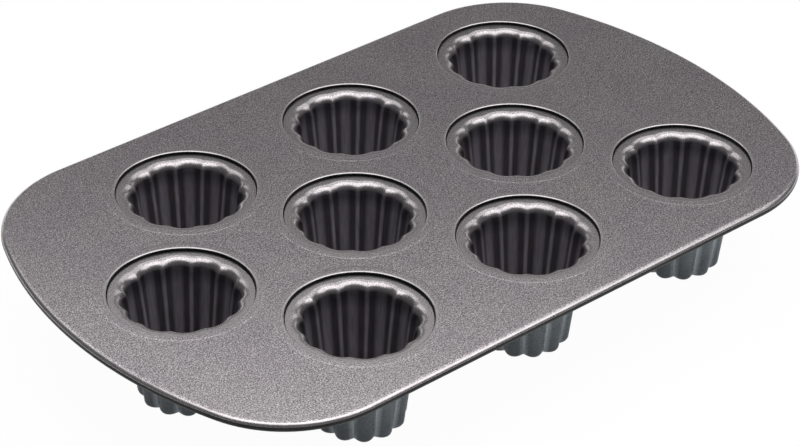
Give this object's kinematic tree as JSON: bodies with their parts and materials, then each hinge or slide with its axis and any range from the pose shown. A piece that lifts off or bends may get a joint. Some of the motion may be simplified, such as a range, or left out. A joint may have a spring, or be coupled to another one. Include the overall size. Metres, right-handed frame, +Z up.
{
  "type": "canele pan",
  "caption": "Flat baking tray with a wire-stiffened rolled rim, carrying staggered deep fluted cups crimped into its holes, for baking caneles.",
  "frame": {"origin": "on the surface that the cups stand on, under the centre of the tray's outline", "axes": "+X along the tray towards its plain end, +Y across it towards the back row, +Z up"},
  "size_m": [0.372, 0.233, 0.055],
  "materials": {
    "tray_coating": "speckled metallic non-stick coating, satin",
    "cup_coating": "dark non-stick coating, satin",
    "wire_steel": "plain drawn wire"
  },
  "bodies": {
    "root": {"tray_plate": "tray_coating", "rim_wire": "wire_steel", "cup_back_left": "cup_coating", "cup_back_centre": "cup_coating", "cup_back_right": "cup_coating", "cup_middle_left": "cup_coating", "cup_middle_centre": "cup_coating", "cup_middle_right": "cup_coating", "cup_front_left": "cup_coating", "cup_front_centre": "cup_coating", "cup_front_right": "cup_coating"}
  },
  "joints": []
}
